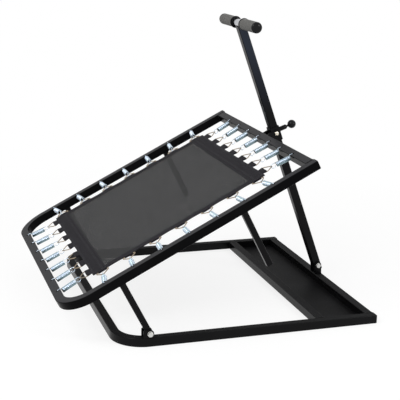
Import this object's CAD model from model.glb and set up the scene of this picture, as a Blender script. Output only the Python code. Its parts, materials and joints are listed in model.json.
import json
import math
import bpy
import bmesh
import numpy as np
from mathutils import Matrix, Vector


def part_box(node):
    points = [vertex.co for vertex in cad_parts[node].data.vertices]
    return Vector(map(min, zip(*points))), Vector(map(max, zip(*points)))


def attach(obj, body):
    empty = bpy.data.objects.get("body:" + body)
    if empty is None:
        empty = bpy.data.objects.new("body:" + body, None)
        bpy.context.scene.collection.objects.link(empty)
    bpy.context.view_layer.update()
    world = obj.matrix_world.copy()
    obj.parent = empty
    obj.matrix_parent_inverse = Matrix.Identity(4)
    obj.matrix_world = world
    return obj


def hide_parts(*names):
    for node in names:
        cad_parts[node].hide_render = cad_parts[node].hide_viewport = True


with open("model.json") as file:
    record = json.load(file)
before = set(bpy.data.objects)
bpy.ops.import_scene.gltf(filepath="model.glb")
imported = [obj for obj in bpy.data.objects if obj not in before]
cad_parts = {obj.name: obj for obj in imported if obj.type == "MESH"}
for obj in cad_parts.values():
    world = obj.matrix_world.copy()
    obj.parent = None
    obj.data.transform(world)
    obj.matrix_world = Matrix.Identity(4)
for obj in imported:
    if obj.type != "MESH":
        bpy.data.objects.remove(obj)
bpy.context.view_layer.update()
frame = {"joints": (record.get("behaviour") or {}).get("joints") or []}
joints = {joint["name"]: joint for joint in frame["joints"]}
print("frame loaded")

# Places. Local sizes are millimetres; x runs back, y to the left, z up or square to the bed.

mm = 0.001
bedTilt = math.radians(-joints["bed_tilt"]["range_deg"][0])
slideAxis = joints["sleeve_slide"]["axis"]
postLean = math.atan2(-slideAxis[0], slideAxis[2])
postPivot = joints["post_swing"]["pos_m"]
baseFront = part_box("base_frame")[0].x


# A local point turned about Y by the tilt, then moved to the origin, in metres
def placer(origin, tilt=0.0):
    c, s = math.cos(tilt), math.sin(tilt)
    turn = np.array([[c, 0, -s], [0, 1, 0], [s, 0, c]])
    return lambda points: np.asarray(points, float) @ turn.T * mm + np.asarray(origin)


inBase = placer((baseFront, 0, 0))
inBed = placer(joints["bed_tilt"]["pos_m"], bedTilt)
inPost = placer(postPivot, postLean)
inClevis = placer(postPivot)


def addObject(name, data):
    thing = bpy.data.objects.new(name, data)
    bpy.context.scene.collection.objects.link(thing)
    return thing


# World matrix from three axes and a place
def worldMatrix(side, top, back, place):
    axes = np.eye(4)
    axes[:3] = np.stack([side, top, back, place], -1)
    return Matrix(axes.tolist())


# Camera: place from the base's front face, looking direction and roll as in the photograph

cameraValues = {
    "place": (-747.6, -3618.6, 1392.4),
    "turn": 18.258,
    "down": 15.065,
    "roll": 1.431,
    "focalPixels": 1024.1,
    "imagePixels": 400,
    "sensor": 36,
}


# Looking direction from turn and tilt, then the right and up directions turned by the roll
def makeCamera(v):
    turn, down, roll = (math.radians(v[k]) for k in ("turn", "down", "roll"))
    look = np.array([math.sin(turn) * math.cos(down), math.cos(turn) * math.cos(down), -math.sin(down)])
    side = np.array([math.cos(turn), -math.sin(turn), 0])
    up = np.cross(side, look)
    right = side * math.cos(roll) + up * math.sin(roll)
    top = up * math.cos(roll) - side * math.sin(roll)
    data = bpy.data.cameras.new("camera")
    data.sensor_width = v["sensor"]
    data.lens = v["focalPixels"] / v["imagePixels"] * v["sensor"]
    camera = addObject("camera", data)
    camera.matrix_world = worldMatrix(right, top, -look, inBase(v["place"]))
    bpy.context.scene.camera = camera


makeCamera(cameraValues)
print("camera made")

# Surfaces: points on a grid of two parameters, joined by quads


# Quad (i, j) joins a grid point to its neighbours along both parameters
def gridQuads(rows, cols, closeRows=False, closeCols=False):
    i, j = np.meshgrid(np.arange(rows - (not closeRows)), np.arange(cols - (not closeCols)), indexing="ij")
    nextI, nextJ = (i + 1) % rows, (j + 1) % cols
    corners = [i * cols + j, i * cols + nextJ, nextI * cols + nextJ, nextI * cols + j]
    return np.stack(corners, -1).reshape(-1, 4)


# Faces that close a grid of closed rows at its first and last row
def endFaces(rows, cols):
    return [list(range(cols))[::-1], list(range((rows - 1) * cols, rows * cols))]


# A grid as a part: its points in one row, and its quads
def gridPart(points, closeRows=False, closeCols=False, capEnds=False):
    rows, cols = points.shape[:2]
    faces = gridQuads(rows, cols, closeRows, closeCols).tolist() + (endFaces(rows, cols) if capEnds else [])
    return points.reshape(-1, 3), faces


mergeWithin = 2e-6     # metres


# One piece from several parts put in place, merged where they meet, faces outwards, smooth up to the sharp
# angle. It replaces the CAD node of its own name unless nodes are given. Shade is a mark from 0 to 1 for
# each point, kept as an attribute that a material reads
def makePiece(name, parts, place, body, finish, nodes=None, sharp=35, shade=None):
    points, faces, start = [], [], 0
    for partPoints, partFaces in parts:
        points.append(place(partPoints))
        faces += [[start + k for k in face] for face in partFaces]
        start += len(partPoints)
    mesh = bpy.data.meshes.new(name)
    mesh.from_pydata(np.concatenate(points).tolist(), [], faces)
    if shade is not None:
        mesh.attributes.new("shade", "FLOAT", "POINT").data.foreach_set("value", np.concatenate(shade))
    work = bmesh.new()
    work.from_mesh(mesh)
    bmesh.ops.remove_doubles(work, verts=work.verts, dist=mergeWithin)
    bmesh.ops.recalc_face_normals(work, faces=work.faces)
    work.to_mesh(mesh)
    work.free()
    mesh.shade_smooth()
    mesh.set_sharp_from_angle(angle=math.radians(sharp))
    piece = addObject(name, mesh)
    material, slot = finishes[finish]
    mesh.materials.append(material)
    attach(piece, body)
    if nodes is None:
        nodes = ["".join("_" + c.lower() if c.isupper() else c for c in name).replace(".", "_")]
    if nodes:
        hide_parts(*nodes)
    return piece


# Rounded square: quarter circles at the corners, with a support point beside each on the flats
def roundedSquare(side, edge, steps=5, support=0.5):
    turn = np.radians(90 * np.arange(4))[:, None]
    a = turn + np.radians(np.linspace(0, 90, steps + 1))[None, :]
    mid = turn + math.pi / 4
    reach = (side / 2 - edge) * math.sqrt(2)
    arc = np.stack([reach * np.cos(mid) + edge * np.cos(a), reach * np.sin(mid) + edge * np.sin(a)], -1)
    first = arc[:, :1] - support * np.stack([-np.sin(turn), np.cos(turn)], -1)
    final = arc[:, -1:] + support * np.stack([-np.sin(turn + math.pi / 2), np.cos(turn + math.pi / 2)], -1)
    return np.concatenate([first, arc, final], 1).reshape(-1, 2)


# Rounded squares stacked along z, one for each side, edge and height
def squareRings(rings):
    return np.stack([np.pad(roundedSquare(side, edge), ((0, 0), (0, 1)), constant_values=z)
                     for side, edge, z in rings])


# Circle of a radius carried along a path, square to it; reference is never along the path
def wireGrid(path, radius, sides, reference, closed=False):
    ahead, behind = np.roll(path, -1, 0), np.roll(path, 1, 0)
    if not closed:
        ahead[-1], behind[0] = path[-1], path[0]
    heading = ahead - behind
    heading /= np.linalg.norm(heading, axis=1)[:, None]
    across = reference - (heading @ reference)[:, None] * heading
    across /= np.linalg.norm(across, axis=1)[:, None]
    turn = np.linspace(0, 2 * math.pi, sides, endpoint=False)
    circle = np.stack([np.cos(turn), np.sin(turn)], -1)
    radius = np.broadcast_to(radius, len(path))
    return path[:, None] + radius[:, None, None] * (
        circle[None, :, :1] * across[:, None] + circle[None, :, 1:] * np.cross(heading, across)[:, None])


# Round wire along a path, closed on itself or at both ends
def wirePart(path, radius, sides, reference, closed=False):
    grid = wireGrid(path, radius, sides, np.asarray(reference, float), closed)
    return gridPart(grid, closeRows=closed, closeCols=True, capEnds=not closed)


# Outline of radius against height, turned about the z axis; both ends closed
def turnedPart(outline, steps=48, closed=False):
    outline = np.asarray(outline, float)
    turn = np.linspace(0, 2 * math.pi, steps, endpoint=False)
    radius, height = outline[:, :1], outline[:, 1:]
    grid = np.stack([radius * np.cos(turn), radius * np.sin(turn), height + 0 * turn], -1)
    return gridPart(grid, closeRows=closed, closeCols=True, capEnds=not closed)


# A part made along z is laid along x or y, and moved
def alongX(part, shift=(0, 0, 0)):
    return part[0][:, [2, 0, 1]] + np.asarray(shift, float), part[1]


def alongY(part, shift=(0, 0, 0)):
    return part[0][:, [1, 2, 0]] + np.asarray(shift, float), part[1]


def mirroredY(part):
    return part[0] * [1, -1, 1], part[1]


# Path through corners, each rounded by an arc that touches both stretches
def roundedPath(corners, radius, steps=6, closed=False):
    corners = np.asarray(corners, float)
    count = len(corners)
    pieces = [] if closed else [corners[:1]]
    for k in range(count) if closed else range(1, count - 1):
        here = corners[k]
        toBefore, toAfter = (corners[(k + d) % count] - here for d in (-1, 1))
        toBefore /= np.linalg.norm(toBefore)
        toAfter /= np.linalg.norm(toAfter)
        half = math.acos(np.clip(toBefore @ toAfter, -1, 1)) / 2
        bisector = (toBefore + toAfter) / np.linalg.norm(toBefore + toAfter)
        centre = here + bisector * radius / math.sin(half)
        spread = math.pi / 2 - half
        t = np.linspace(-spread, spread, steps + 1)[:, None]
        sideways = (toAfter - toBefore) / np.linalg.norm(toAfter - toBefore)
        pieces.append(centre + radius * (-bisector * np.cos(t) + sideways * np.sin(t)))
    if not closed:
        pieces.append(corners[-1:])
    return np.concatenate(pieces)


# Points added so that no stretch of a path is longer than the step
def refined(path, step):
    stretches = np.linalg.norm(np.diff(path, axis=0), axis=1)
    along = np.concatenate([[0], np.cumsum(stretches)])
    want = np.unique(np.concatenate([along, np.arange(0, along[-1], step)]).round(6))
    return np.stack([np.interp(want, along, path[:, k]) for k in range(3)], -1)


# Smooth step from 0 to 1: three times the square less twice the cube
def smoothStep(t):
    t = np.clip(t, 0, 1)
    return t * t * (3 - 2 * t)


# Shader nodes: a value is set on its socket, and an output of another node is joined to it

def setSockets(tree, sockets, values):
    for key, value in values.items():
        if isinstance(value, bpy.types.NodeSocket):
            tree.links.new(value, sockets[key])
        else:
            sockets[key].default_value = value


def addNode(tree, kind, values=None, **properties):
    node = tree.nodes.new("ShaderNode" + kind)
    for key, value in properties.items():
        setattr(node, key, value)
    setSockets(tree, node.inputs, values or {})
    return node


def mathNode(tree, operation, *values):
    return addNode(tree, "Math", dict(enumerate(values)), operation=operation).outputs["Value"]


def ranged(tree, source, low, high, fromLow=0.0, fromHigh=1.0):
    return addNode(tree, "MapRange", {"Value": source, "From Min": fromLow, "From Max": fromHigh,
                                      "To Min": low, "To Max": high}).outputs["Result"]


def mixedColor(tree, mask, *colors):
    first, second = ((*color, 1) if isinstance(color, tuple) else color for color in colors)
    node = addNode(tree, "Mix", {"Factor": mask, "A": first, "B": second}, data_type="RGBA")
    return node.outputs["Result"]


# Shared shader groups: each reads coordinates and its own values, and puts out what it is asked for

def newGroup(name, values, outputs):
    group = bpy.data.node_groups.new(name, "ShaderNodeTree")
    group.interface.new_socket("Coords", in_out="INPUT", socket_type="NodeSocketVector")
    for key, value in values.items():
        group.interface.new_socket(key, in_out="INPUT", socket_type="NodeSocketFloat").default_value = value
    for key, kind in outputs.items():
        group.interface.new_socket(key, in_out="OUTPUT", socket_type="NodeSocket" + kind)
    return group, group.nodes.new("NodeGroupInput").outputs, group.nodes.new("NodeGroupOutput").inputs


# A group placed in a material, with its coordinates and its values in their order
def useGroup(tree, group, *values):
    node = tree.nodes.new("ShaderNodeGroup")
    node.node_tree = group
    setSockets(tree, node.inputs, dict(enumerate(values)))
    return node.outputs


def noiseNode(tree, coords, scale, look):
    return addNode(tree, "TexNoise", {"Vector": coords, "Scale": scale, **look}).outputs["Fac"]


grainNoise = {"Detail": 3.0, "Roughness": 0.55}


# Fine unevenness: noise at a size, as a value and as a bumped normal
def makeGrainGroup():
    group, inputs, outputs = newGroup("fineGrain", {"Per metre": 500.0, "Depth": 0.0002, "Strength": 0.3},
                                      {"Value": "Float", "Normal": "Vector"})
    noise = noiseNode(group, inputs["Coords"], inputs["Per metre"], grainNoise)
    bump = addNode(group, "Bump", {"Height": noise, "Distance": inputs["Depth"],
                                   "Strength": inputs["Strength"]})
    setSockets(group, outputs, {"Value": noise, "Normal": bump.outputs["Normal"]})
    return group


scuffShape = {"stretch": {"Scale": (1.0, 9.0, 3.0), "Rotation": (0.3, 0.5, 0.9)},
              "streakNoise": {"Detail": 4.0, "Roughness": 0.7}, "streakCut": (0.62, 0.72),
              "broadNoise": {"Detail": 2.0}, "broadPerMetre": 7.0, "broadCut": (0.45, 0.7)}


# Wear: stretched noise cut to thin streaks, gathered in patches by a broad noise
def makeScuffGroup(v):
    group, inputs, outputs = newGroup("scuffs", {"Per metre": 60.0, "Amount": 0.3},
                                      {"Mask": "Float", "Patches": "Float"})
    stretched = addNode(group, "Mapping", {"Vector": inputs["Coords"], **v["stretch"]}).outputs["Vector"]
    streaks = noiseNode(group, stretched, inputs["Per metre"], v["streakNoise"])
    broad = noiseNode(group, inputs["Coords"], v["broadPerMetre"], v["broadNoise"])
    patches = ranged(group, broad, 0.0, 1.0, *v["broadCut"])
    worn = mathNode(group, "MULTIPLY", ranged(group, streaks, 0.0, 1.0, *v["streakCut"]), patches)
    worn = mathNode(group, "MULTIPLY", worn, inputs["Amount"])
    setSockets(group, outputs, {"Mask": worn, "Patches": patches})
    return group


# Weave: two crossed waves; threads pass over and under, and a gap opens where both are low
def makeWeaveGroup(under=0.35):
    group, inputs, outputs = newGroup("weave", {"Thread X": 0.0024, "Thread Y": 0.0024, "Gap": 0.2},
                                      {"Height": "Float", "Hole": "Float"})
    parts = addNode(group, "SeparateXYZ", {"Vector": inputs["Coords"]}).outputs

    def calc(operation, *values):
        return mathNode(group, operation, *values)

    turns = [calc("DIVIDE", parts[k], inputs["Thread " + k]) for k in ("X", "Y")]
    ridges = [calc("ABSOLUTE", calc("SINE", calc("MULTIPLY", t, math.pi))) for t in turns]
    checks = [calc("FLOOR", t) for t in turns]
    raised = calc("MULTIPLY", calc("ABSOLUTE", calc("MODULO", calc("ADD", *checks), 2.0)), under)
    height = calc("MAXIMUM", calc("MULTIPLY", ridges[0], calc("ADD", raised, 1.0 - under)),
                  calc("MULTIPLY", ridges[1], calc("SUBTRACT", 1.0, raised)))
    hole = calc("LESS_THAN", calc("MAXIMUM", *ridges), inputs["Gap"])
    setSockets(group, outputs, {"Height": height, "Hole": hole})
    return group


grainGroup, scuffGroup, weaveGroup = makeGrainGroup(), makeScuffGroup(scuffShape), makeWeaveGroup()


# The empty node tree of a material or a world
def emptyTree(owner):
    owner.use_nodes = True
    owner.node_tree.nodes.clear()
    return owner.node_tree


def newMaterial(name, values):
    material = bpy.data.materials.new(name)
    tree = emptyTree(material)
    shader = addNode(tree, "BsdfPrincipled", values)
    addNode(tree, "OutputMaterial", {"Surface": shader.outputs["BSDF"]})
    return material, tree, shader


def objectCoords(tree, rotation=None):
    coords = addNode(tree, "TexCoord").outputs["Object"]
    if rotation is None:
        return coords
    return addNode(tree, "Mapping", {"Vector": coords, "Rotation": rotation}).outputs["Vector"]


# How far the surface faces a direction: 0 up to the first level, 1 past the second
def facingMask(tree, direction, start, end):
    normal = addNode(tree, "TexCoord").outputs["Normal"]
    facing = addNode(tree, "VectorMath", {0: normal, 1: direction}, operation="DOT_PRODUCT")
    return ranged(tree, facing.outputs["Value"], 0.0, 1.0, start, end)


# How high a place stands: 0 up to the first height, 1 past the second, in metres
def heightMask(tree, coords, low, high):
    return ranged(tree, addNode(tree, "SeparateXYZ", {"Vector": coords}).outputs["Z"], 0.0, 1.0, low, high)


# Finishes. Colors are the colour itself, its patches and its worn streaks; grain is its number per metre,
# depth and strength; scuffs are their number per metre and amount; roughness is the least, the greatest and
# what wear adds. A tint is dust or sheen on the faces towards one direction, between two levels of facing,
# and above a height where it has one; it may add roughness. Shade colours follow a piece's own marks, each
# between two levels of them

middleGrain = (0.3, 0.7)     # most of the noise lies between these
shadeLevels = ((0.0, 0.45), (0.5, 0.95))
bedUpwards = (-math.sin(bedTilt), 0, math.cos(bedTilt))
bedDust = {"towards": bedUpwards, "levels": (0.75, 0.97), "color": (0.041, 0.041, 0.044), "roughness": 0.12}
baseDust = {"towards": (0, 0, 1), "levels": (0.75, 0.97), "color": (0.004, 0.004, 0.0045),
            "roughness": 0.45}
postSheen = {"towards": (0, -1, 0), "levels": (0.85, 0.99), "color": (0.027, 0.034, 0.05),
             "heights": (0.7, 0.95)}
framePaint = {
    "slot": "frame_paint", "colors": ((0.0035, 0.0035, 0.004), (0.005, 0.005, 0.0058), (0.03, 0.03, 0.031)),
    "grain": (420.0, 0.0003, 0.12), "scuffs": (90.0, 0.3), "roughness": (0.2, 0.3, 0.25),
    "shader": {"Specular IOR Level": 0.1}}
surfaceLooks = {
    "framePaint": framePaint,
    "bedPaint": {**framePaint, "tints": [bedDust], "shader": {"Specular IOR Level": 0.03}},
    "basePaint": {**framePaint, "tints": [baseDust]},
    "postPaint": {**framePaint, "tints": [postSheen]},
    "trayPaint": {
        "slot": "tray_paint",
        "colors": ((0.003, 0.003, 0.0035), (0.006, 0.006, 0.007), (0.025, 0.025, 0.026)),
        "grain": (260.0, 0.0004, 0.25), "scuffs": (40.0, 0.5), "roughness": (0.5, 0.65, 0.1),
        "shader": {"Specular IOR Level": 0.05}},
    "capPlastic": {
        "slot": "cap_plastic", "colors": ((0.006, 0.006, 0.006), (0.01, 0.01, 0.01), (0.04, 0.04, 0.04)),
        "grain": (1500.0, 0.0003, 0.3), "scuffs": (120.0, 0.4), "roughness": (0.45, 0.6, 0.1),
        "shader": {"Specular IOR Level": 0.15}},
    "glossPlastic": {
        "slot": "knob_plastic", "colors": ((0.006, 0.006, 0.007), (0.009, 0.009, 0.01), (0.05, 0.05, 0.05)),
        "grain": (300.0, 0.0001, 0.05), "scuffs": (200.0, 0.15), "roughness": (0.14, 0.2, 0.2),
        "shader": {"Specular IOR Level": 0.16}},
    "chrome": {
        "slot": "chrome", "colors": ((0.45, 0.46, 0.48), (0.4, 0.41, 0.43), (0.3, 0.3, 0.32)),
        "grain": (200.0, 0.0001, 0.06), "scuffs": (300.0, 0.3), "roughness": (0.1, 0.2, 0.15),
        "shader": {"Metallic": 1.0}},
    "springWire": {
        "slot": "spring_wire", "colors": ((0.68, 0.77, 0.88), (0.56, 0.66, 0.78), (0.3, 0.36, 0.42)),
        "shadeColors": ((0.34, 0.46, 0.5), (0.02, 0.025, 0.03)),
        "grain": (900.0, 0.0002, 0.1), "scuffs": (300.0, 0.5), "roughness": (0.14, 0.3, 0.2),
        "shader": {"Metallic": 1.0}},
    "ringWire": {
        "slot": "ring_wire", "colors": ((0.36, 0.29, 0.21), (0.25, 0.205, 0.155), (0.12, 0.085, 0.055)),
        "grain": (1200.0, 0.0003, 0.3), "scuffs": (300.0, 0.7), "roughness": (0.35, 0.55, 0.2),
        "shader": {"Metallic": 0.85}},
    "zinc": {
        "slot": "zinc", "colors": ((0.62, 0.62, 0.6), (0.5, 0.51, 0.5), (0.3, 0.29, 0.27)),
        "grain": (900.0, 0.0002, 0.2), "scuffs": (300.0, 0.6), "roughness": (0.22, 0.4, 0.2),
        "shader": {"Metallic": 1.0}},
    "domeBolt": {
        "slot": "dome_bolt", "colors": ((0.78, 0.73, 0.62), (0.7, 0.64, 0.52), (0.4, 0.35, 0.27)),
        "grain": (500.0, 0.0001, 0.1), "scuffs": (300.0, 0.4), "roughness": (0.12, 0.25, 0.2),
        "shader": {"Metallic": 1.0}},
    "thread": {
        "slot": "webbing", "colors": ((0.05, 0.049, 0.055), (0.07, 0.069, 0.076), (0.1, 0.1, 0.1)),
        "grain": (2500.0, 0.0002, 0.3), "scuffs": (200.0, 0.2), "roughness": (0.6, 0.8, 0.1),
        "shader": {"Specular IOR Level": 0.3}},
}


# Paint, plating or plastic: a colour that varies by patches, wear in streaks, and a fine bump
def surfaceMaterial(name, look):
    material, tree, shader = newMaterial(name, look["shader"])
    coords = objectCoords(tree)
    plain, patchy, wear = look["colors"]
    smooth, rough, wornMore = look["roughness"]
    grain = useGroup(tree, grainGroup, coords, *look["grain"])
    scuffs = useGroup(tree, scuffGroup, coords, *look["scuffs"])
    color = mixedColor(tree, scuffs["Mask"], mixedColor(tree, scuffs["Patches"], plain, patchy), wear)
    roughness = mathNode(tree, "MULTIPLY_ADD", scuffs["Mask"], wornMore,
                         ranged(tree, grain["Value"], smooth, rough, *middleGrain))
    for tint in look.get("tints", ()):
        mask = facingMask(tree, tint["towards"], *tint["levels"])
        if "heights" in tint:
            mask = mathNode(tree, "MULTIPLY", mask, heightMask(tree, coords, *tint["heights"]))
        color = mixedColor(tree, mask, color, tint["color"])
        roughness = mathNode(tree, "MULTIPLY_ADD", mask, tint.get("roughness", 0.0), roughness)
    if "shadeColors" in look:
        mark = addNode(tree, "Attribute", attribute_name="shade").outputs["Fac"]
        for shadeColor, levels in zip(look["shadeColors"], shadeLevels):
            color = mixedColor(tree, ranged(tree, mark, 0.0, 1.0, *levels), color, shadeColor)
    setSockets(tree, shader.inputs, {"Base Color": color, "Roughness": roughness,
                                     "Normal": grain["Normal"]})
    return material


# Cloth: the threads' sizes along and across the bed, the gap between them, their dark and light colours,
# the number of patches per metre and the least share of light in them, the bump's strength and depth
clothLooks = {
    "matMesh": {
        "slot": "mat_weave", "threads": (0.0026, 0.0026), "gap": 0.22, "dark": (0.0168, 0.0168, 0.0173),
        "light": (0.0475, 0.0475, 0.049), "patches": (40.0, 0.7), "bump": (0.5, 0.0006),
        "shader": {"Roughness": 0.7, "Specular IOR Level": 0.12}},
    "webbing": {
        "slot": "webbing", "threads": (0.004, 0.0016), "gap": 0.0, "dark": (0.004, 0.0037, 0.005),
        "light": (0.021, 0.019, 0.025), "patches": (60.0, 0.5), "bump": (0.6, 0.0005),
        "shader": {"Roughness": 0.8, "Specular IOR Level": 0.1, "Sheen Weight": 0.06,
                   "Sheen Roughness": 0.4}},
}


# Woven cloth in the bed's own plane, its colour from dark to light with the threads' height. Gaps let light
# through: a slab of cloth has two sides, and light that has come in through one passes the other
def clothMaterial(name, look):
    material, tree, shader = newMaterial(name, look["shader"])
    coords = objectCoords(tree, (0, bedTilt, 0))
    perMetre, leastLight = look["patches"]
    strength, depth = look["bump"]
    weave = useGroup(tree, weaveGroup, coords, *look["threads"], look["gap"])
    grain = useGroup(tree, grainGroup, coords, perMetre)
    patches = ranged(tree, grain["Value"], leastLight, 1.0, *middleGrain)
    light = mathNode(tree, "MULTIPLY", weave["Height"], patches)
    bump = addNode(tree, "Bump", {"Height": weave["Height"], "Strength": strength, "Distance": depth})
    setSockets(tree, shader.inputs, {"Base Color": mixedColor(tree, light, look["dark"], look["light"]),
                                     "Normal": bump.outputs["Normal"]})
    if look["gap"]:
        inside = addNode(tree, "NewGeometry").outputs["Backfacing"]
        clear = mathNode(tree, "MAXIMUM", weave["Hole"], inside)
        setSockets(tree, shader.inputs, {"Alpha": mathNode(tree, "SUBTRACT", 1.0, clear)})
    return material


foamLook = {
    "slot": "foam", "cellsPerMetre": 900.0, "patchesPerMetre": 180.0, "dark": (0.09, 0.088, 0.083),
    "light": (0.17, 0.168, 0.158), "bump": (0.35, 0.0005),
    "shader": {"Roughness": 0.85, "Specular IOR Level": 0.3, "Sheen Weight": 0.2, "Sheen Roughness": 0.5}}


# Foam: soft closed cells and a dull surface
def foamMaterial(name, look):
    material, tree, shader = newMaterial(name, look["shader"])
    coords = objectCoords(tree)
    cells = addNode(tree, "TexVoronoi", {"Vector": coords, "Scale": look["cellsPerMetre"]})
    grain = useGroup(tree, grainGroup, coords, look["patchesPerMetre"])
    patches = ranged(tree, grain["Value"], 0.0, 1.0, *middleGrain)
    strength, depth = look["bump"]
    bump = addNode(tree, "Bump", {"Height": cells.outputs["Distance"], "Strength": strength,
                                  "Distance": depth})
    setSockets(tree, shader.inputs, {"Base Color": mixedColor(tree, patches, look["dark"], look["light"]),
                                     "Normal": bump.outputs["Normal"]})
    return material


makers = ((surfaceMaterial, surfaceLooks), (clothMaterial, clothLooks), (foamMaterial, {"foam": foamLook}))
finishes = {}
for make, looks in makers:
    finishes.update({name: (make(name, look), look["slot"]) for name, look in looks.items()})
print("materials made")

# Frame tubes. A hole's inset is measured from the tube's outer face

tube = {"side": 32, "edge": 3.2, "bend": 100, "bendSteps": 30, "width": 1000}
leg = {"side": 22, "edge": 2.6}
springHole = {"radius": 4, "depth": 9, "inset": 20}
railY = tube["width"] / 2 - tube["side"] / 2
railInner = tube["width"] / 2 - tube["side"]
xAxis, yAxis, zAxis = np.eye(3)
signs = (1, -1)


# Hole cells: four corners, a circle between them, its wall going down, and the pocket's floor
def holeCells(corners, middle, axisA, axisB, side, hole, steps=24):
    ahead = np.cross(axisB, axisA)
    ahead *= np.sign(np.sum((corners[:, 0] - corners[:, 3]) * ahead, 1))[:, None]
    turn = (np.linspace(0, 2 * math.pi, steps, endpoint=False) + math.pi / 4)[:, None]
    centre = middle + (side / 2 - hole["inset"]) * axisA + side / 2 * axisB
    spokes = np.cos(turn) * axisA[:, None] + np.sin(turn) * ahead[:, None]
    circle = centre[:, None] + hole["radius"] * spokes
    floor = circle - hole["depth"] * axisB[:, None]
    quarter = steps // 4
    arcs = [[4 + (k * quarter + n) % steps for n in range(quarter, -1, -1)] for k in range(4)]
    faces = [[k, (k + 1) % 4] + arcs[k] for k in range(4)]
    faces += (gridQuads(2, steps, closeCols=True) + 4).tolist()
    faces.append([4 + steps + n for n in range(steps)])
    return [(cell, faces) for cell in np.concatenate([corners, circle, floor], 1)]


# Square tube: a rounded square carried along places with two axes, ends closed. On the side that axis B
# points to, each marked stretch is a cell with a round hole and a blind pocket under it
def squareTube(places, axisA, axisB, size, marked, hole=springHole, trim=None):
    profile = roundedSquare(size["side"], size["edge"])
    rows, cols = len(places), len(profile)
    grid = places[:, None] + profile[:, :1] * axisA[:, None] + profile[:, 1:] * axisB[:, None]
    if trim:
        grid[-1] = trim(grid[-1])
    top = cols // 4 - 1
    kept = np.ones((rows - 1, cols), bool)
    kept[marked, top] = False
    quads = gridQuads(rows, cols, closeCols=True)[kept.ravel()]
    corners = np.stack([grid[1:, top], grid[1:, top + 1], grid[:-1, top + 1], grid[:-1, top]], 1)[marked]
    middle = (places[:-1] + places[1:])[marked] / 2
    cells = holeCells(corners, middle, axisA[:-1][marked], axisB[:-1][marked], size["side"], hole)
    return [(grid.reshape(-1, 3), quads.tolist() + endFaces(rows, cols))] + cells


# Stations of a straight tube, split round its holes, and which stretches between them hold a hole
def stations(low, high, holePlaces, cell=26):
    holePlaces = np.asarray(holePlaces, float)
    marks = np.sort(np.concatenate([[low, high], holePlaces - cell / 2, holePlaces + cell / 2]))
    middles = (marks[:-1] + marks[1:]) / 2
    return marks, (np.abs(middles[:, None] - holePlaces) < cell / 2).any(1)


# A U of tube: left rail, bend, front tube, bend, right rail, each as x, y and the outward angle
def uTube(length, height, railHoles=(), frontHoles=()):
    centre, half = tube["side"] / 2 + tube["bend"], railY - tube["bend"]
    rail, railMarked = stations(centre, length, railHoles)
    front, frontMarked = stations(-half, half, frontHoles)
    bend = np.radians(np.linspace(90, 180, tube["bendSteps"] + 1))[1:-1]
    left, right = ((centre + tube["bend"] * np.cos(a), y + tube["bend"] * np.sin(a), a)
                   for a, y in ((bend, half), (bend + math.pi / 2, -half)))
    stretches = [(rail[::-1], railY, math.pi / 2), left, (tube["side"] / 2, front[::-1], math.pi), right,
                 (rail, -railY, 1.5 * math.pi)]
    x, y, angle = np.concatenate([np.stack(np.broadcast_arrays(*stretch)) for stretch in stretches], 1)
    bent = np.zeros(len(bend) + 1, bool)
    marked = np.concatenate([railMarked[::-1], bent, frontMarked[::-1], bent, railMarked])
    places = np.stack([x, y, 0 * x + height], -1)
    outward = np.stack([np.cos(angle), np.sin(angle), 0 * x], -1)
    return squareTube(places, outward, np.tile(zAxis, (len(x), 1)), tube, marked)


# A straight tube from a to b, its hole side towards up; hole places are measured from a
def straightTube(a, b, size, up, holePlaces=(), hole=springHole, trim=None):
    a, b = np.asarray(a, float), np.asarray(b, float)
    length = np.linalg.norm(b - a)
    way = (b - a) / length
    marks, marked = stations(0, length, holePlaces)
    axisA, axisB = (np.tile(axis, (len(marks), 1)) for axis in (np.cross(way, up), up))
    return squareTube(a + marks[:, None] * way, axisA, axisB, size, marked, hole, trim)


# A tube from one rail's inner side to the other's
def crossTube(x, z, holePlaces=()):
    return straightTube((x, -railInner, z), (x, railInner, z), tube, zAxis, holePlaces)


base = {"length": 970, "trayFront": 744, "hingeX": 116, "hingeZ": 47.5}
middleZ = tube["side"] / 2
crossTubes = {"baseRearTube": base["length"] - middleZ, "trayTube": base["trayFront"] + middleZ}
makePiece("baseFrame", uTube(base["length"], middleZ), inBase, "base", "basePaint")
for name, x in crossTubes.items():
    makePiece(name, crossTube(x, middleZ), inBase, "base", "basePaint")

bed = {"length": 1000, "front": 218, "legHeight": 207.5, "rearLegU": 478, "legBelow": 10, "plugEnd": -15.2,
       "holePitch": 111, "perSide": 7}

# The cap's nose is pairs: narrower by, and at which share of the thickness
cap = {"thickness": 3, "insert": 14, "wall": 2, "play": 0.6,
       "nose": ((0, 0.45), (0.5, 0.75), (1.6, 0.95), (3.2, 1))}
bedTop = bed["legHeight"] + tube["side"]
bedMiddle = bed["length"] / 2 - bed["front"]
bedRear = bed["length"] - bed["front"]
rearU = bedRear - middleZ
bedZ = bed["legHeight"] + middleZ
legEnd = bed["plugEnd"] + cap["thickness"]
steps7 = np.arange(bed["perSide"]) - (bed["perSide"] - 1) / 2
holeSteps = steps7 * bed["holePitch"]


# The bed's U starts at its front edge, so its own x is moved back by the reach in front
def bedU(points):
    return inBed(points - np.array([bed["front"], 0, 0]))


makePiece("bedFrame", uTube(bed["length"], bedZ, bed["length"] / 2 + holeSteps, holeSteps), bedU,
          "bed", "bedPaint")
makePiece("bedRearTube", crossTube(rearU, bedZ, railInner + holeSteps), inBed, "bed", "bedPaint")
for sign, word in zip(signs, ("left", "right")):
    for name, u, low in (("frontLeg.", 0, -bed["legBelow"]), ("rearLeg.", bed["rearLegU"], legEnd)):
        y = sign * railY
        parts = straightTube((u, y, low), (u, y, bed["legHeight"]), leg, xAxis)
        makePiece(name + word, parts, inBed, "bed", "framePaint")
print("frame tubes made")


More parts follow.
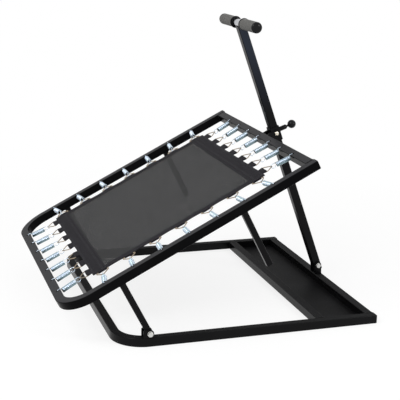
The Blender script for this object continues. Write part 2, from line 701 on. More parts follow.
# Moulded cap: a rounded square that narrows to its outer face, and the insert behind it
def capPart(size):
    side, insert = size["side"], size["side"] - 2 * cap["wall"] - cap["play"]
    rings = [(insert, -cap["insert"]), (insert, 0), (side, 0)]
    rings += [(side - less, cap["thickness"] * share) for less, share in cap["nose"]]
    return gridPart(squareRings([(s, size["edge"] * min(1, s / side), z) for s, z in rings]),
                    closeCols=True, capEnds=True)


for name, place, body, x, z in (("baseEndCaps", inBase, "base", base["length"], middleZ),
                                ("bedEndCaps", inBed, "bed", bedRear, bedZ)):
    makePiece(name, [alongX(capPart(tube), (x, s * railY, z)) for s in signs], place, body, "capPlastic")
plug, plugFaces = capPart(leg)
plugs = [(plug * [1, 1, -1] + [bed["rearLegU"], s * railY, legEnd], plugFaces) for s in signs]
makePiece("rearLegPlugs", plugs, inBed, "bed", "capPlastic")

# Weld beads: a thin roll round each joint, its radius rippled along the way

weld = {"radius": 2.1, "ripple": 0.14, "pitch": 2.6, "step": 0.7, "sides": 8, "offRail": 0.6, "sunkBy": 0.5,
        "underBed": 0.8, "across": (0.37, 0.53, 0.76)}     # no bead runs that way


def beadPart(path, closed):
    path = refined(np.concatenate([path, path[:1]]) if closed else path, weld["step"])
    path = path[:-1] if closed else path
    along = np.arange(len(path)) * weld["step"]
    radius = weld["radius"] * (1 + weld["ripple"] * np.sin(2 * math.pi * along / weld["pitch"]))
    return wirePart(path, radius, weld["sides"], weld["across"], closed)


# Bead round a rounded square that meets a plane: the square's outline in two axes at a place. An open
# bead runs up one side, over the top and down the other, from corner to corner of the underside
def beadRound(place, side, edge, axisA, axisB, closed=True):
    outline = roundedSquare(side, edge, 3, 0)
    if not closed:
        outline = np.roll(outline, 1, 0)[:len(outline) // 2 + 2]
    return beadPart(np.asarray(place, float) + outline[:, :1] * axisA + outline[:, 1:] * axisB, closed)


# Beads at both ends of a cross tube
def crossBeads(x, z, closed):
    side = tube["side"] - 2 * weld["sunkBy"]
    return [beadRound((x, s * (railInner - weld["offRail"]), z), side, tube["edge"], xAxis, zAxis, closed)
            for s in signs]


# Bead round a leg, where it meets the underside of the bed's tube
def legBead(u, y):
    side = leg["side"] + 2 * weld["sunkBy"]
    return beadRound((u, y, bed["legHeight"] - weld["underBed"]), side, leg["edge"], xAxis, yAxis)


baseBeads = [bead for x in crossTubes.values() for bead in crossBeads(x, middleZ, False)]
legBeads = [legBead(u, s * railY) for u in (0, bed["rearLegU"]) for s in signs]
bedBeads = crossBeads(rearU, bedZ, True) + legBeads
makePiece("baseWelds", baseBeads, inBase, "base", "framePaint", nodes=(), sharp=80)
makePiece("bedWelds", bedBeads, inBed, "bed", "framePaint", nodes=(), sharp=80)
print("caps and welds made")

# Springs and rings. The coil is pulled apart over a part of its end turns, by the lead at each end

spring = {"reach": 86, "wire": 2.5, "outer": 19, "sides": 7, "across": (0.7071, 0.7071, 0),
          "hookIn": 2.6, "hookBend": 2.2, "hookSteps": 8, "hookDrop": 8, "lift": 0.25, "overEdge": 12.6,
          "coilStart": 15, "coilEnd": 72.4, "turns": 21, "stepsPerTurn": 16, "pullTurns": 0.3, "lead": 2.0,
          "touchAngle": 22, "gap": 0.05, "loopTurn": (115, -165), "loopSteps": 32}
ring = {"wire": 3.5, "sides": 8, "depth": 30, "width": 58, "corner": 4.5, "cornerSteps": 6, "pitch": 104,
        "drop": 7}
barSteps = steps7 * ring["pitch"]
matPlane = bedTop - ring["drop"]
coilRadius = (spring["outer"] - spring["wire"]) / 2


# One spring's path: up out of the hole, over the tube's edge to the coil's top, round the coil, and from
# its top round a full loop, whose far side holds the ring's rounded nose. The coil's axis is level with
# the loop's centre. Also the axis beside each point, which is the point itself where there is no coil
def springPath(v):
    topZ = v["wire"] / 2 + v["lift"]
    touch = math.radians(v["touchAngle"])
    inner = coilRadius - v["wire"] / 2 - ring["wire"] / 2 - v["gap"]
    halfAngle = math.atan2(ring["width"] / 2, ring["depth"])
    nose = v["reach"] + ring["corner"] * (1 / math.sin(halfAngle) - 1)
    loopX, axisZ = nose - inner * math.cos(touch), -ring["drop"] - inner * math.sin(touch)
    hook = roundedPath([(v["hookIn"], 0, -v["hookDrop"]), (v["hookIn"], 0, topZ), (v["overEdge"], 0, topZ),
                        (v["coilStart"], 0, axisZ + coilRadius)], v["hookBend"], v["hookSteps"])[:-1]
    turned = np.linspace(0, 2 * math.pi * v["turns"], int(v["turns"] * v["stepsPerTurn"]))
    pull = 2 * math.pi * v["pullTurns"]
    startPull = 1 - (1 - np.clip(turned / pull, 0, 1)) ** 2
    endPull = np.clip(1 - (turned[-1] - turned) / pull, 0, 1) ** 2
    span = v["coilEnd"] - v["coilStart"] - 2 * v["lead"]
    x = v["coilStart"] + v["lead"] * (startPull + endPull) + span * turned / turned[-1]
    axis = np.stack([x, 0 * x, 0 * x + axisZ], -1)
    coil = axis + coilRadius * np.stack([0 * x, np.sin(turned), np.cos(turned)], -1)
    turn = np.radians(np.linspace(*v["loopTurn"], v["loopSteps"]))
    loop = np.stack([loopX + coilRadius * np.cos(turn), 0 * turn, axisZ + coilRadius * np.sin(turn)], -1)
    return np.concatenate([hook, coil, loop]), np.concatenate([hook, axis, loop])


# Heights are shares of the coil's radius, and the low mark has a strength for each row
springMarks = {"low": (0.5, 0.5, 0.5, 0.0), "lowFrom": 0.3, "lowBlend": 0.25, "atTube": 1.7, "further": 1.0,
               "tubeEnd": 0.5, "top": 0.3, "topFrom": 0.8, "topBlend": 0.1}


# Marks of the wire's points, each by a smooth step: the low mark on the coil's lower half, which grows
# towards the tube's end, a small mark along its top edge, and 1 on the side that faces its hollow
def springShade(grid, path, axis, lowMark, v):
    out = grid - axis[:, None]
    distance = np.linalg.norm(out, axis=2)
    onCoil = np.linalg.norm(path - axis, axis=1)[:, None] > coilRadius / 2
    height = out[:, :, 2] / np.maximum(distance, 1e-6)
    share = (axis[:, :1] - spring["coilStart"]) / (spring["coilEnd"] - spring["coilStart"])
    growth = v["atTube"] + (v["further"] - v["atTube"]) * smoothStep(share / v["tubeEnd"])
    low = lowMark * smoothStep((v["lowFrom"] - height) / v["lowBlend"]) * growth
    top = v["top"] * smoothStep((height - v["topFrom"]) / v["topBlend"]) * (lowMark > 0)
    hollow = smoothStep((coilRadius - distance) / (spring["wire"] / 4))
    return np.where(onCoil, np.maximum(np.maximum(low, top), hollow), 0)


# Triangle of wire with rounded corners: bar at the loop, point at the spring's end
def ringPath(line, holeY, barY):
    corners = [(spring["reach"] * line[0], holeY + spring["reach"] * line[1], -ring["drop"])]
    bar = spring["reach"] + ring["depth"]
    corners += [(bar, barY + s * ring["width"] / 2, -ring["drop"]) for s in signs]
    path = roundedPath(corners, ring["corner"], ring["cornerSteps"], closed=True)
    return path + [springHole["inset"], 0, 0]


# Side coordinates (x in from the tube's outer face, y along, z from the tube's top) to the bed's
def sidePlacer(quarter):
    c, s = round(math.cos(quarter * math.pi / 2)), round(math.sin(quarter * math.pi / 2))

    def place(points):
        x, y, z = np.moveaxis(np.asarray(points, float), -1, 0)
        x = x - bed["length"] / 2
        return inBed(np.stack([bedMiddle + c * x - s * y, s * x + c * y, bedTop + z], -1))
    return place


sides = {"front": 0, "right": 1, "rear": 2, "left": 3}
onePath, oneAxis = springPath(spring)
oneCoil = wireGrid(onePath, spring["wire"] / 2, spring["sides"], np.array(spring["across"]))
for word, quarter in sides.items():
    shade = springShade(oneCoil, onePath, oneAxis, springMarks["low"][quarter], springMarks).ravel()
    coils, wires = [], []
    for holeY, barY in zip(holeSteps, barSteps):
        line = np.array([spring["reach"] + ring["depth"], barY - holeY])
        line /= np.linalg.norm(line)
        turn = np.array([[line[0], -line[1], 0], [line[1], line[0], 0], [0, 0, 1]])
        turned = oneCoil @ turn.T + [springHole["inset"], holeY, 0]
        path = ringPath(line, holeY, barY)
        coils.append(gridPart(turned, closeCols=True, capEnds=True))
        wires.append(wirePart(path, ring["wire"] / 2, ring["sides"], zAxis, closed=True))
    place, shades = sidePlacer(quarter), [shade] * len(coils)
    makePiece("springs." + word, coils, place, "bed", "springWire", sharp=80, shade=shades)
    makePiece("rings." + word, wires, place, "bed", "ringWire", sharp=80)
print("springs and rings made")

# Mat, its webbing and its loops. Mat coordinates start at the mat's middle, in the bed's plane

matSize = {"barInset": 136, "reachEnd": 15, "reachSide": 5, "thickness": 1.2, "scallopSide": 3,
           "scallopEnd": 1.5, "hemPower": 9, "sag": 2.0, "points": 170}
matHalf = bed["length"] / 2 - matSize["barInset"] - np.array([matSize["reachEnd"], matSize["reachSide"]])
fabricHalf = matSize["thickness"] / 2


def inMat(points):
    return inBed(np.asarray(points, float) + [bedMiddle, 0, matPlane])


# How far the hem draws in between two loops: a cosine wave with its crests at the loops
def drawnIn(along, depth):
    return depth * (0.5 - 0.5 * np.cos(2 * math.pi * along / ring["pitch"]))


# Point of the mat at shares s, t from -1 to 1; its edges draw in between the loops, by a high power of the
# share so that the middle stays, and the fabric dips a little towards its middle
def matPoint(s, t, lift=0.0):
    x, y = s * matHalf[0], t * matHalf[1]
    inX = drawnIn(y, matSize["scallopEnd"]) * np.abs(s) ** matSize["hemPower"] * np.sign(s)
    inY = drawnIn(x, matSize["scallopSide"]) * np.abs(t) ** matSize["hemPower"] * np.sign(t)
    dip = -matSize["sag"] * (1 - s * s) * (1 - t * t)
    return np.stack([x - inX, y - inY, lift + dip + 0 * x], -1)


# A thin closed slab of the mat between two heights, over a range of shares: two grids and a rim of quads
def matSlab(sRange, tRange, rows, cols, top, bottom):
    s, t = np.meshgrid(np.linspace(*sRange, rows), np.linspace(*tRange, cols), indexing="ij")
    count = rows * cols
    quads = gridQuads(rows, cols)
    index = np.arange(count).reshape(rows, cols)
    rim = np.concatenate([index[0], index[1:, -1], index[-1, -2::-1], index[-2:0:-1, 0]])
    after = np.roll(rim, -1)
    rimQuads = np.stack([rim, after, after + count, rim + count], -1)
    faces = np.concatenate([quads, quads[:, ::-1] + count, rimQuads])
    return np.concatenate([matPoint(s, t, lift).reshape(-1, 3) for lift in (top, bottom)]), faces.tolist()


points = matSize["points"]
fabric = makePiece("matFabric", [matSlab((-1, 1), (-1, 1), points, points, fabricHalf, -fabricHalf)], inMat,
                   "bed", "matMesh", ["mat"])

border = {"end": 56, "side": 28, "thickness": 1.1, "gap": 0.05, "along": 170, "across": 8}


# Webbing strip over a stretch of the mat, on top of the fabric and under it
def stripParts(sRange, tRange, rows, cols):
    return [matSlab(sRange, tRange, rows, cols, s * (fabricHalf + border["thickness"]),
                    s * (fabricHalf + border["gap"])) for s in signs]


endShare, sideShare = 1 - border["end"] / matHalf[0], 1 - border["side"] / matHalf[1]
strips = []
for s in signs:
    strips += stripParts(sorted((s, s * endShare)), (-1, 1), border["across"], border["along"])
    strips += stripParts((-endShare, endShare), sorted((s, s * sideShare)), border["along"],
                         border["across"])
makePiece("matBorder", strips, inMat, "bed", "webbing")

loop = {"end": 46, "side": 33, "strap": 1.0, "sewn": 0.3, "overlap": 9, "across": 6, "slack": 0.25,
        "wrap": (100, 260), "wrapSteps": 14, "neck": 1}


# Strap round the ring's bar: out from inside the border, round the bar, and back, as a closed
# outline carried along the bar
def loopOutline(reach):
    inner = ring["wire"] / 2 + loop["slack"]
    turn = np.radians(np.linspace(*loop["wrap"], loop["wrapSteps"]))
    circle = np.stack([np.cos(turn), np.sin(turn)], -1)
    back, low, high = reach + loop["overlap"], loop["sewn"], loop["sewn"] + loop["strap"]
    top = np.array([(back, low), (back, high), (reach - loop["neck"], high)])
    nose, hollow = (inner + loop["strap"]) * circle, inner * circle[::-1]
    return np.concatenate([top, nose, top[::-1] * [1, -1], hollow])


# One loop: the outline at its ring's bar, carried over the strap's width
def loopPart(width, reach, barY):
    outline = np.insert(loopOutline(reach) + [matSize["barInset"], -ring["drop"]], 1, barY, axis=1)
    grid = np.stack([outline + [0, y, 0] for y in np.linspace(-width / 2, width / 2, loop["across"])])
    return gridPart(grid, closeCols=True, capEnds=True)


for word, quarter in sides.items():
    along = "Side" if quarter % 2 else "End"
    parts = [loopPart(loop[along.lower()], matSize["reach" + along], barY) for barY in barSteps]
    makePiece("matLoops." + word, parts, sidePlacer(quarter), "bed", "webbing")

# Stitches: short rolls of thread in rows, from one rounded bar repeated. Stations are shares of a stitch's
# length, and swell is the thread's thickness there; seams are insets from the mat's edges

stitch = {"length": 3.4, "pitch": 4.6, "width": 0.8, "height": 0.45, "stations": (-0.5, -0.3, 0.3, 0.5),
          "swell": (0.35, 1, 1, 0.35), "arch": (0, 60, 120, 180)}
seams = {"end": (3, 7, 38, 42, 53), "side": (3, 25), "endShare": 0.985}


# Stitches at places, each a low barrel whose width and height shrink towards both ends
def stitchParts(places, way):
    rows, cols = len(stitch["stations"]), len(stitch["arch"])
    along, swell = (np.repeat(stitch[key], cols) for key in ("stations", "swell"))
    turn = np.tile(np.radians(stitch["arch"]), rows)
    local = np.stack([along * stitch["length"], np.cos(turn) * swell * stitch["width"] / 2,
                      np.sin(turn) * swell * stitch["height"]], -1)
    axes = np.array([[way[0], way[1], 0], [-way[1], way[0], 0], [0, 0, 1]])
    points = places[:, None] + local @ axes
    faces = np.array(gridQuads(rows, cols, closeCols=True).tolist() + endFaces(rows, cols))
    starts = len(local) * np.arange(len(places))
    return points.reshape(-1, 3), (faces + starts[:, None, None]).reshape(-1, 4).tolist()


# A row of stitches between two share points of the mat, at a height above its plane
def stitchRow(start, end, lift):
    start, end = np.asarray(start, float), np.asarray(end, float)
    count = int(np.linalg.norm((end - start) * matHalf) / stitch["pitch"])
    shares = start + (end - start) * (np.arange(count)[:, None] + 0.5) / count
    way = (end - start) / np.linalg.norm(end - start)
    return stitchParts(matPoint(shares[:, 0], shares[:, 1], lift), way)


rows = []
for sign in signs:
    ends = [sign * (1 - inset / matHalf[0]) for inset in seams["end"]]
    along = [sign * (1 - inset / matHalf[1]) for inset in seams["side"]]
    lines = [((s, -seams["endShare"]), (s, seams["endShare"])) for s in ends]
    lines += [((-endShare, t), (endShare, t)) for t in along]
    rows += [stitchRow(*line, fabricHalf + border["thickness"]) for line in lines]
makePiece("matStitching", rows, inMat, "bed", "thread", nodes=(), sharp=80)
print("mat, webbing and stitching made")

# Post and handle

post = {"side": 32, "edge": 3, "below": 20, "handle": 1040, "bar": 28.6, "barWall": 2, "saddle": 6,
        "stationBelow": 8, "holePitch": 75.9, "holesBelow": 5, "holesAbove": 3, "pinAbove": 3.5}
postHole = {"radius": 4.5, "depth": 9, "inset": post["side"] / 2}
barRadius = post["bar"] / 2


# The top of the post follows the round handle tube: its height falls by the circle's half chord
def saddleCut(points):
    depth = np.sqrt(np.maximum(barRadius ** 2 - points[:, 0] ** 2, 0))
    points[:, 2] = np.minimum(post["handle"] - depth, post["handle"] - barRadius + post["saddle"])
    return points


# The pin's height is that of its barrel's middle along the post
barrelLow, barrelHigh = (np.array(corner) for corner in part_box("pin_barrel"))
pinMiddle = (barrelLow + barrelHigh) / 2 - np.array(postPivot)
pinHeight = pinMiddle @ np.array([-math.sin(postLean), 0, math.cos(postLean)]) / mm
holeCounts = np.arange(-post["holesBelow"], post["holesAbove"] + 1)
postHoles = pinHeight + post["below"] + post["holePitch"] * holeCounts
postEnds = [(0, 0, -post["below"]), (0, 0, post["handle"] - post["stationBelow"])]
makePiece("postTube", straightTube(*postEnds, post, xAxis, postHoles, postHole, saddleCut), inPost,
          "post", "postPaint", ["post"])

handle = {"half": 172, "gripStart": 47, "grip": 41, "gripEase": 2.2, "gripPoints": 240, "ribPitch": 5.2,
          "ribDepth": 0.7, "ribPower": 0.5, "play": 0.1, "flange": 45, "flangeThick": 4, "flangeEase": 1.0,
          "capDome": 13, "capRim": 3.0, "capEase": 0.6, "capPlug": 14, "steps": 64}


def atHandle(points):
    return inPost(np.asarray(points, float) + [0, 0, post["handle"]])


# Parts of the handle on both its ends, from one outline of radius against y
def handleParts(outline, closed):
    part = alongY(turnedPart(outline, handle["steps"], closed))
    return [part, mirroredY(part)]


barEnds = [(barRadius - inset, s * handle["half"]) for s, inset in
           ((-1, post["barWall"]), (-1, 0), (1, 0), (1, post["barWall"]))]
makePiece("handleTube", handleParts(barEnds, True)[:1], atHandle, "post", "chrome")


# Grip: radius dips at each rib groove, and rounds over at both ends
def gripOutline(v):
    y = np.linspace(v["gripStart"], v["half"], v["gripPoints"])
    wave = np.abs(np.sin(math.pi * (y - v["gripStart"]) / v["ribPitch"])) ** v["ribPower"]
    toEdge = np.maximum(v["gripEase"] - np.minimum(y - v["gripStart"], v["half"] - y), 0)
    fall = v["gripEase"] - np.sqrt(np.maximum(v["gripEase"] ** 2 - toEdge ** 2, 0))
    r = v["grip"] / 2 - v["ribDepth"] * (1 - wave) - fall
    bore = barRadius + v["play"]
    return np.concatenate([[(bore, y[0])], np.stack([r, y], -1), [(bore, y[-1])]])


for part, word in zip(handleParts(gripOutline(handle), True), ("left", "right")):
    makePiece("grip." + word, [part], atHandle, "post", "foam", sharp=60)


# Flange ring: a disc whose rims are eased by a point a third of the way round
def flangeOutline(v):
    bore, r, ease = barRadius + v["play"], v["flange"] / 2, v["flangeEase"]
    start, end = v["gripStart"] - v["flangeThick"], v["gripStart"]
    rim = [(r - ease, 0), (r - 0.3 * ease, 0.3 * ease), (r, ease)]
    front, back = [(x, start + y) for x, y in rim], [(x, end - y) for x, y in rim[::-1]]
    return [(bore, start)] + front + back + [(bore, end)]


# Dome: radius and height follow a quarter ellipse, almost to the axis
def domeArc(radius, start, height, steps, end=88):
    t = np.radians(np.linspace(0, end, steps))
    return np.stack([radius * np.cos(t), start + height * np.sin(t)], -1)


# Handle cap: a plug in the tube, a short rim, then a dome
def handleCapOutline(v):
    plugRadius = barRadius - post["barWall"] - v["play"]
    r, end, ease = v["grip"] / 2, v["half"], v["capEase"]
    start = [(plugRadius, end - v["capPlug"]), (plugRadius, end), (r - ease, end), (r, end + ease)]
    return np.concatenate([start, domeArc(r, end + v["capRim"], v["capDome"] - v["capRim"], 20)])


makePiece("gripFlanges", handleParts(flangeOutline(handle), True), atHandle, "post", "glossPlastic")
makePiece("handleCaps", handleParts(handleCapOutline(handle), False), atHandle, "post", "glossPlastic")
print("post and handle made")

# Sleeve: outer rings, then the bore's rings, closed on themselves, with softened rims

sleeve = {"side": 40, "bore": 32.8, "edge": 3.4, "boreEdge": 1.2, "above": 25, "length": 58, "soft": 0.6}


def sleevePart(v):
    high = pinHeight - post["pinAbove"] + v["above"]
    low, soft = high - v["length"], v["soft"]
    heights = (low, low + soft, high - soft, high)
    outer = [(v["side"] - less, v["edge"], z) for less, z in zip((2 * soft, 0, 0, 2 * soft), heights)]
    inner = [(v["bore"] + more, v["boreEdge"], z) for more, z in zip((soft, 0, 0, soft), heights[::-1])]
    return gridPart(squareRings(outer + inner), closeRows=True, closeCols=True)


makePiece("sleeveCollar", [sleevePart(sleeve)], inPost, "sleeve", "framePaint", ["sleeve"])

# Pull pin, measured from the post's axis. Noses are pairs: narrower by, and how far from the end

pin = {"barrel": 18, "barrelEnd": 54, "wall": 2, "endWall": 3, "footReach": 1.5, "footLength": 4,
       "footSlope": 1.2, "barrelNose": ((0, 4), (0.4, 3), (1.6, 1), (2.6, 0)), "shaft": 8, "play": 0.08,
       "tip": 16.3, "tipNose": ((1.2, 0), (0.2, 1.6), (0, 2.4)), "collar": 13.4, "collarStart": 26.3,
       "collarThick": 2}
knob = {"ball": 33, "centre": 77, "turn": (148, 2), "steps": 40, "boss": 13, "bossLength": 1.6,
        "bossEase": (0.4, 0.5), "play": 0.1, "boreStart": 3}
shaftR = pin["shaft"] / 2


def makePinPiece(name, outline, body, finish, steps, closed=False):
    part = alongX(turnedPart(outline, steps, closed), (0, 0, pinHeight))
    makePiece(name, [part], inPost, body, finish)


# Barrel: a foot on the sleeve, a tube, and an end wall round the shaft, with a rounded nose
def barrelOutline(v):
    r, start, end = v["barrel"] / 2, sleeve["side"] / 2, v["barrelEnd"]
    footEnd, inside, bore = start + v["footLength"], end - v["endWall"], shaftR + v["play"]
    footR = r + v["footReach"]
    foot = [(r - v["wall"], start), (footR, start), (footR, footEnd), (r, footEnd + v["footSlope"])]
    nose = [(r - less, end - back) for less, back in v["barrelNose"]]
    return foot + nose + [(bore, end), (bore, inside), (r - v["wall"], inside)]


# Pin: a rounded tip, the shaft, its collar, and the shaft again up to the knob's middle
def pinOutline(v):
    start, end = v["collarStart"], v["collarStart"] + v["collarThick"]
    tip = [(shaftR - less, v["tip"] + back) for less, back in v["tipNose"]]
    return tip + [(shaftR, start), (v["collar"] / 2, start), (v["collar"] / 2, end), (shaftR, end),
                  (shaftR, knob["centre"])]


# Knob: a ball cut by a boss where the pin enters, from a circle's radius at each place
def knobOutline(v):
    t = np.radians(np.linspace(*v["turn"], v["steps"]))
    ball = v["ball"] / 2 * np.stack([np.sin(t), np.cos(t)], -1) + [0, v["centre"]]
    start, bore, boss = ball[0, 1] - v["bossLength"], shaftR + v["play"], v["boss"] / 2
    return np.concatenate([[(bore, v["centre"] - v["boreStart"]), (bore, start), (boss, start),
                            (boss + v["bossEase"][0], start + v["bossEase"][1])], ball])


makePinPiece("pinBarrel", barrelOutline(pin), "sleeve", "framePaint", 48, True)
makePinPiece("pullPin", pinOutline(pin), "pull_pin", "framePaint", 40)
makePinPiece("pinKnob", knobOutline(knob), "pull_pin", "glossPlastic", 56)

coil = {"wire": 1.2, "sides": 6, "radius": 5.4, "start": 33.2, "end": 50.1, "turns": 8, "stepsPerTurn": 16}
t = np.linspace(0, 2 * math.pi * coil["turns"], coil["turns"] * coil["stepsPerTurn"])
coilPath = np.stack([coil["start"] + (coil["end"] - coil["start"]) * t / t[-1], coil["radius"] * np.cos(t),
                     pinHeight + coil["radius"] * np.sin(t)], -1)
makePiece("pinSpring", [wirePart(coilPath, coil["wire"] / 2, coil["sides"], xAxis)], inPost, "sleeve",
          "springWire", sharp=80)
print("sleeve and pull pin made")

# Fasteners. A thread is a groove of a depth and a pitch, with four rows of points to a turn

hexSize = {"across": 17, "head": 6.4, "nut": 8, "washer": 20, "washerThick": 2, "washerEase": 0.3,
           "bolt": 10, "play": 0.05, "tail": 2, "face": 0.95, "fallAngle": 30, "boreEase": 0.4, "steps": 48}
thread = {"pitch": 1.5, "depth": 0.35, "tip": ((1, 0), (0.2, 0.9)), "start": 1, "past": 0.2, "end": 0.4}


# Hexagon prism whose corners fall away to a round face: height drops with the radius past the flats
def hexPart(low, high, bore=None):
    turn = np.linspace(0, 2 * math.pi, hexSize["steps"], endpoint=False)
    flat = hexSize["across"] / 2
    reach = flat / np.cos((turn + math.pi / 6) % (math.pi / 3) - math.pi / 6)
    face = flat * hexSize["face"]
    fall = (reach - face) * math.tan(math.radians(hexSize["fallAngle"]))
    rows = [(reach, high - fall), (face, high)]
    if bore is None:
        rows = [(reach, low)] + rows
    else:
        ease = hexSize["boreEase"]
        rows = [(face, low), (reach, low + fall)] + rows
        rows += [(bore + ease, high), (bore, high - ease), (bore, low)]
    grid = np.stack([np.stack([r * np.cos(turn), r * np.sin(turn), z + 0 * turn], -1) for r, z in rows])
    return gridPart(grid, closeRows=bore is not None, closeCols=True, capEnds=bore is None)


# Bolt with its head at +z of the clamped width, its thread out of the nut at the other end
def boltParts(halfWidth):
    r, end = hexSize["bolt"] / 2, halfWidth + hexSize["washerThick"]
    nutEnd = -end - hexSize["nut"]
    tail = nutEnd - hexSize["tail"]
    z = np.arange(tail + thread["start"], nutEnd + thread["past"], thread["pitch"] / 4)
    rows = np.stack([r - thread["depth"] * (np.arange(len(z)) % 4 < 2), z], -1)
    tip = [(r - less, tail + back) for less, back in thread["tip"]]
    outline = np.concatenate([tip, rows, [(r, z[-1] + thread["end"]), (r, end)]])
    return [turnedPart(outline, 32), hexPart(end, end + hexSize["head"])]


# Washers at both ends of the clamped width, flat rings with eased rims
def washerParts(halfWidth):
    r, thick, ease = hexSize["washer"] / 2, hexSize["washerThick"], hexSize["washerEase"]
    rim = [(r - ease, 0), (r, ease), (r, thick - ease), (r - ease, thick)]
    outline = np.array([(nutBore, 0), *rim, (nutBore, thick)])
    return [turnedPart(outline + [0, z], closed=True) for z in (-halfWidth - thick, halfWidth)]


# Nut past the washer: a hexagon with a bore
def nutParts(halfWidth):
    low = -halfWidth - hexSize["washerThick"] - hexSize["nut"]
    return [hexPart(low, low + hexSize["nut"], nutBore)]


nutBore = hexSize["bolt"] / 2 + hexSize["play"]
ear = {"radius": 14, "front": 24, "rise": 15.5, "thickness": 4, "gap": 0.5, "corner": 3}
clevis = {"radius": 15, "thickness": 5, "rise": 35, "low": 938, "high": 967, "pivot": 950, "gap": 0.4}
hingeHalf = leg["side"] / 2 + ear["gap"] + ear["thickness"]
clevisHalf = post["side"] / 2 + clevis["gap"] + clevis["thickness"]
for word, hingeNode, make in (("Bolt", "hinge_bolts", boltParts), ("Washers", "hinge_washers", washerParts),
                              ("Nut", "hinge_nuts", nutParts)):
    parts = [alongY(part, (base["hingeX"], railY, base["hingeZ"])) for part in make(hingeHalf)]
    parts += [mirroredY(part) for part in parts]
    makePiece("hinge" + word, parts, inBase, "base", "zinc", [hingeNode], sharp=25)
    parts = [mirroredY(alongY(part)) for part in make(clevisHalf)]
    makePiece("postPivot" + word, parts, inClevis, "base", "zinc", sharp=25)

arm = {"radius": 14, "reach": 38.5, "rise": 12, "inner": 20.5, "thickness": 4}
dome = {"radius": 8.5, "height": 6.4, "shank": 5, "ease": 0.3, "rim": 1}
sleevePivot = (bedRear + arm["reach"], bed["legHeight"] + arm["rise"])
armHalf = arm["inner"] + arm["thickness"]


# Domed bolt: a short shank through the ear, a thin rim, then a dome
def domeOutline(v):
    shank, r, ease = v["shank"], v["radius"], v["ease"]
    start = [(shank, arm["inner"]), (shank, armHalf), (r - ease, armHalf), (r, armHalf + ease)]
    return np.concatenate([start, domeArc(r, armHalf + v["rim"], v["height"] - v["rim"], 16)])


domePart = alongY(turnedPart(domeOutline(dome)), (sleevePivot[0], 0, sleevePivot[1]))
makePiece("sleeveBolts", [domePart, mirroredY(domePart)], inBed, "bed", "domeBolt")
print("fasteners made")

# Plates. Their edges are softened by a bevel, where two faces meet at more than an angle

plateEdge = {"width": 0.0007, "segments": 2, "fromAngle": 50}


# Round end of a plate: an arc between two angles
def arc(radius, start, end, steps):
    t = np.radians(np.linspace(start, end, steps))
    return np.stack([radius * np.cos(t), radius * np.sin(t)], -1)


# A pair of plates: an outline in x and z, moved by a shift and thickened along y, at both ends of a width
# whose middle is given
def makePlates(name, outline, shift, middleY, outerHalf, thickness, place, body):
    parts = []
    for s in signs:
        middle = middleY + s * (outerHalf - thickness / 2)
        grid = np.stack([np.insert(outline + np.array(shift), 1, middle + side * thickness / 2, axis=1)
                         for side in (-1, 1)])
        parts.append(gridPart(grid, closeCols=True, capEnds=True))
    bevel = makePiece(name, parts, place, body, "framePaint").modifiers.new("softEdges", "BEVEL")
    bevel.width = plateEdge["width"]
    bevel.segments = plateEdge["segments"]
    bevel.limit_method = "ANGLE"
    bevel.angle_limit = math.radians(plateEdge["fromAngle"])


earOutline = np.concatenate([arc(ear["radius"], 0, 90, 20), [
    (-ear["front"] + ear["corner"], ear["radius"]), (-ear["front"], ear["radius"] - ear["corner"]),
    (-ear["front"], -ear["rise"]), (ear["radius"], -ear["rise"])]])
clevisFoot = [(clevis[key] - clevis["pivot"], -clevis["rise"]) for key in ("low", "high")]
clevisOutline = np.concatenate([arc(clevis["radius"], 0, 180, 28), clevisFoot])
armRoot = [(-arm["reach"], s * arm["radius"]) for s in signs]
armOutline = np.concatenate([arc(arm["radius"], -90, 90, 24), armRoot])
for sign, word in zip(signs, ("left", "right")):
    makePlates("hingeEars." + word, earOutline, (base["hingeX"], base["hingeZ"]), sign * railY, hingeHalf,
               ear["thickness"], inBase, "base")
makePlates("postClevis", clevisOutline, (0, 0), 0, clevisHalf, clevis["thickness"], inClevis, "base")
makePlates("sleeveEars", armOutline, sleevePivot, 0, armHalf, arm["thickness"], inBed, "bed")

# Tray: a folded sheet with its edges turned up, from one outline carried across the base

tray = {"lift": 2, "thickness": 1.5, "edge": 18, "bend": 3, "across": 5}


# One face of the sheet, at a depth inside its outer face
def trayFold(depth):
    start, end = base["trayFront"] + tube["side"] + depth, base["length"] - tube["side"] - depth
    low, high = tray["lift"] + depth, tray["lift"] + tray["edge"]
    corners = [(start, 0, high), (start, 0, low), (end, 0, low), (end, 0, high)]
    return roundedPath(corners, tray["bend"] - depth)


sheetOutline = np.concatenate([trayFold(0), trayFold(tray["thickness"])[::-1]])
sheet = np.stack([sheetOutline + [0, y, 0] for y in np.linspace(-railInner, railInner, tray["across"])])
makePiece("trayPan", [gridPart(sheet, closeCols=True, capEnds=True)], inBase, "base", "trayPaint")
print("plates and tray made")

# Studio: a white floor that keeps a soft shadow, and large soft lamps

studio = {"floorHalf": 12.0, "floorColor": 0.6, "seenColor": 0.26, "floorGlow": 0.8, "fadeStart": 1.1,
          "fadeEnd": 2.2, "world": 0.55, "background": 1.0}
lamps = {
    "key": {"place": (-2.6, -1.6, 3.0), "aim": (0, 0, 0.35), "size": 1.8, "power": 55},
    "fill": {"place": (2.6, -2.8, 2.4), "aim": (0, 0, 0.5), "size": 0.8, "power": 30},
}


# 1 for rays from the camera, off a gloss or through the weave, 0 for the light on the object
def seenRay(tree):
    path = addNode(tree, "LightPath").outputs
    first = mathNode(tree, "MAXIMUM", path["Is Camera Ray"], path["Is Glossy Ray"])
    return mathNode(tree, "MAXIMUM", first, path["Is Transmission Ray"])


def mixedShader(tree, mask, first, second):
    return addNode(tree, "MixShader", {"Fac": mask, 1: first, 2: second}).outputs["Shader"]


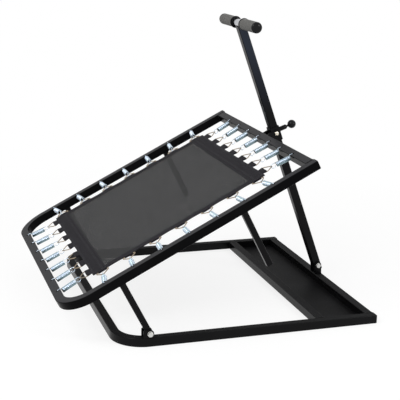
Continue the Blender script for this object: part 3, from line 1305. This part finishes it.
# Floor: seen rays find grey paper with a glow, which fades to white with the distance from the middle
def makeFloor(v):
    h = v["floorHalf"]
    mesh = bpy.data.meshes.new("floor")
    mesh.from_pydata([(-h, -h, 0), (h, -h, 0), (h, h, 0), (-h, h, 0)], [], [(0, 1, 2, 3)])
    material = bpy.data.materials.new("floorPaper")
    tree = emptyTree(material)
    paper, seenPaper = (addNode(tree, "BsdfDiffuse", {"Color": (v[key],) * 3 + (1,)}).outputs["BSDF"]
                        for key in ("floorColor", "seenColor"))
    glow, white = (addNode(tree, "Emission", {"Strength": v[key]}).outputs["Emission"]
                   for key in ("floorGlow", "background"))
    lit = addNode(tree, "AddShader", {0: seenPaper, 1: glow}).outputs["Shader"]
    distance = addNode(tree, "VectorMath", {0: objectCoords(tree)}, operation="LENGTH").outputs["Value"]
    fade = ranged(tree, distance, 0.0, 1.0, v["fadeStart"], v["fadeEnd"])
    seen = mixedShader(tree, fade, lit, white)
    addNode(tree, "OutputMaterial", {"Surface": mixedShader(tree, seenRay(tree), paper, seen)})
    mesh.materials.append(material)
    addObject("floor", mesh)


# World: soft light from all sides, and white where it is seen
def makeWorld(v):
    world = bpy.data.worlds.new("studio")
    tree = emptyTree(world)
    light, white = (addNode(tree, "Background", {"Color": (1, 1, 1, 1), "Strength": v[key]})
                    for key in ("world", "background"))
    both = (node.outputs["Background"] for node in (light, white))
    addNode(tree, "OutputWorld", {"Surface": mixedShader(tree, seenRay(tree), *both)})
    bpy.context.scene.world = world


# Square lamp at a place, turned to face what it aims at
def makeLamp(name, v):
    data = bpy.data.lights.new(name, "AREA")
    data.size = v["size"]
    data.energy = v["power"]
    place, aim = np.array(v["place"], float), np.array(v["aim"], float)
    back = (place - aim) / np.linalg.norm(place - aim)
    side = np.cross(zAxis, back)
    side /= np.linalg.norm(side)
    addObject(name, data).matrix_world = worldMatrix(side, np.cross(back, side), back, place)


makeFloor(studio)
makeWorld(studio)
for name, values in lamps.items():
    makeLamp(name, values)
bpy.context.scene.view_settings.view_transform = "Standard"
print("studio made")
